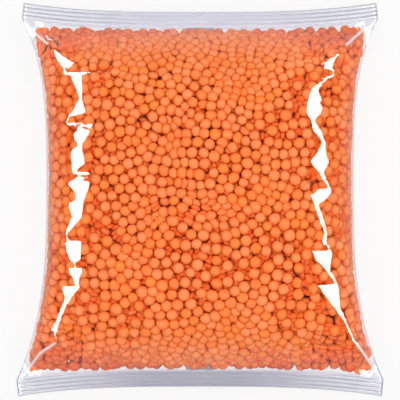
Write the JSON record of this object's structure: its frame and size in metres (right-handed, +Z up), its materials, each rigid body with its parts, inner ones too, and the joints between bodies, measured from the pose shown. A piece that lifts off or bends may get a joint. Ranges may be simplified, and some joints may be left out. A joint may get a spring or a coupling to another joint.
{
  "type": "bag of lentils",
  "caption": "Sealed clear film pillow bag, full of orange-red lentils that press against it, with a ribbed heat seal along each end.",
  "frame": {"origin": "on the surface that the bag lies on, under the middle of its outline", "axes": "+Z up out of the front that the picture shows, +Y towards the bag's top seal, +X to the right of the front"},
  "size_m": [0.158, 0.1704, 0.0477],
  "materials": {
    "lentils": "satin",
    "film": "gloss"
  },
  "bodies": {
    "root": {"lentil_bag": "lentils"}
  },
  "joints": []
}
